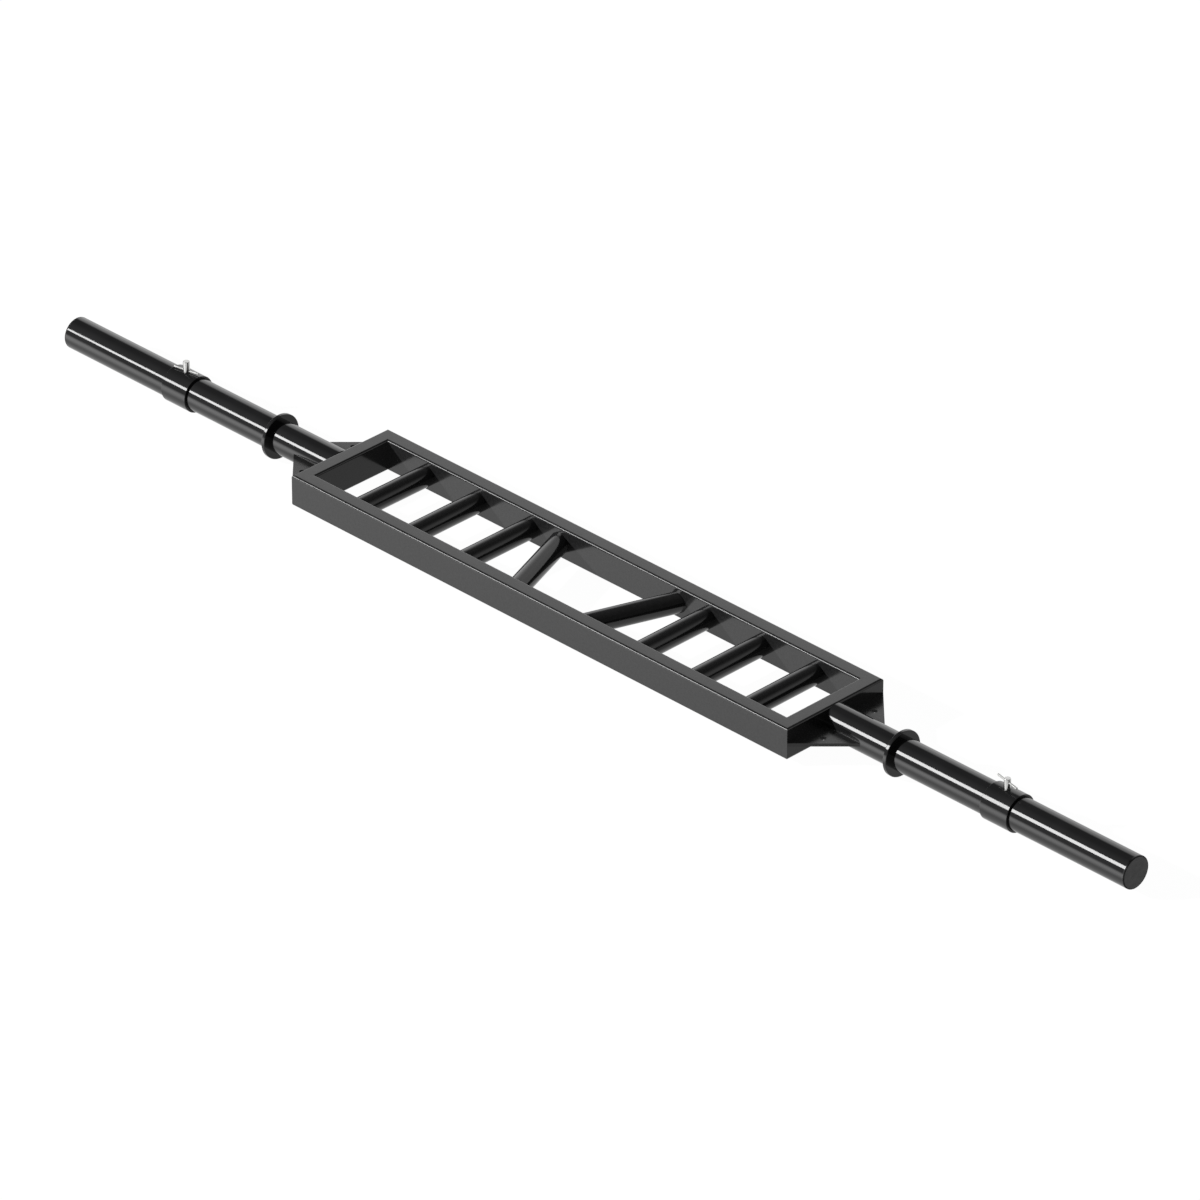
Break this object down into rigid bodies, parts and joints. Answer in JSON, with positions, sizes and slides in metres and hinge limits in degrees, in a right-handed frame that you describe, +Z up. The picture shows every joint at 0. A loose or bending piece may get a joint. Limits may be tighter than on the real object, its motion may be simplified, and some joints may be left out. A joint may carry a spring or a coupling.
{
  "type": "swiss bar",
  "caption": "Multi-grip barbell: a welded tube frame with square and angled cross grips, plate sleeves with stop rings, and sliding screw collars.",
  "frame": {"origin": "midway along the bar and across it, at the height of the stop rings' lowest points", "axes": "+X along the bar towards the right sleeve, +Y from the front rail to the back rail, +Z up through the flat of the frame"},
  "size_m": [2.114, 0.192, 0.081],
  "materials": {
    "frame_paint": "satin black powder coat",
    "grip_paint": "satin black powder coat",
    "sleeve_paint": "gloss black with a fine orange peel",
    "stop_ring_paint": "gloss black",
    "cap_plastic": "satin black plastic with a fine speckle",
    "collar_paint": "gloss black",
    "screw_plating": "bright plating",
    "tommy_plating": "bright plating",
    "pad_brass": "plain turned brass"
  },
  "bodies": {
    "bar": {"front_rail": "frame_paint", "back_rail": "frame_paint", "left_end_rail": "frame_paint", "right_end_rail": "frame_paint", "left_outer_grip": "grip_paint", "left_middle_grip": "grip_paint", "left_inner_grip": "grip_paint", "left_angled_grip": "grip_paint", "right_angled_grip": "grip_paint", "right_inner_grip": "grip_paint", "right_middle_grip": "grip_paint", "right_outer_grip": "grip_paint", "left_sleeve": "sleeve_paint", "right_sleeve": "sleeve_paint", "left_sleeve_cap": "cap_plastic", "right_sleeve_cap": "cap_plastic", "left_stop_ring": "stop_ring_paint", "right_stop_ring": "stop_ring_paint", "left_front_gusset": "frame_paint", "left_back_gusset": "frame_paint", "right_front_gusset": "frame_paint", "right_back_gusset": "frame_paint"},
    "left_collar_body": {"left_collar": "collar_paint"},
    "left_pad_body": {"left_pressure_pad": "pad_brass"},
    "left_screw_body": {"left_clamp_screw": "screw_plating", "left_tommy_bar": "tommy_plating"},
    "right_collar_body": {"right_collar": "collar_paint"},
    "right_pad_body": {"right_pressure_pad": "pad_brass"},
    "right_screw_body": {"right_clamp_screw": "screw_plating", "right_tommy_bar": "tommy_plating"}
  },
  "joints": [
    {"name": "left_collar_slide", "type": "slide", "parent": "bar", "child": "left_collar_body", "axis": [-1, 0, 0], "range_m": [-0.169, 0.205]},
    {"name": "left_pad_lift", "type": "slide", "parent": "left_collar_body", "child": "left_pad_body", "axis": [0, 0, 1], "range_m": [0, 0.0016]},
    {"name": "left_screw_turn", "type": "hinge", "parent": "left_pad_body", "child": "left_screw_body", "pos_m": [-0.819, 0, 0.0635], "axis": [0, 0, 1], "range_deg": [0, 360]},
    {"name": "right_collar_slide", "type": "slide", "parent": "bar", "child": "right_collar_body", "axis": [1, 0, 0], "range_m": [-0.169, 0.205]},
    {"name": "right_pad_lift", "type": "slide", "parent": "right_collar_body", "child": "right_pad_body", "axis": [0, 0, 1], "range_m": [0, 0.0016]},
    {"name": "right_screw_turn", "type": "hinge", "parent": "right_pad_body", "child": "right_screw_body", "pos_m": [0.819, 0, 0.0635], "axis": [0, 0, 1], "range_deg": [0, 360]}
  ],
  "couplings": [
    {"joint": "left_pad_lift", "follows": "left_screw_turn", "m_per_rad": 0.0002387},
    {"joint": "right_pad_lift", "follows": "right_screw_turn", "m_per_rad": 0.0002387}
  ]
}
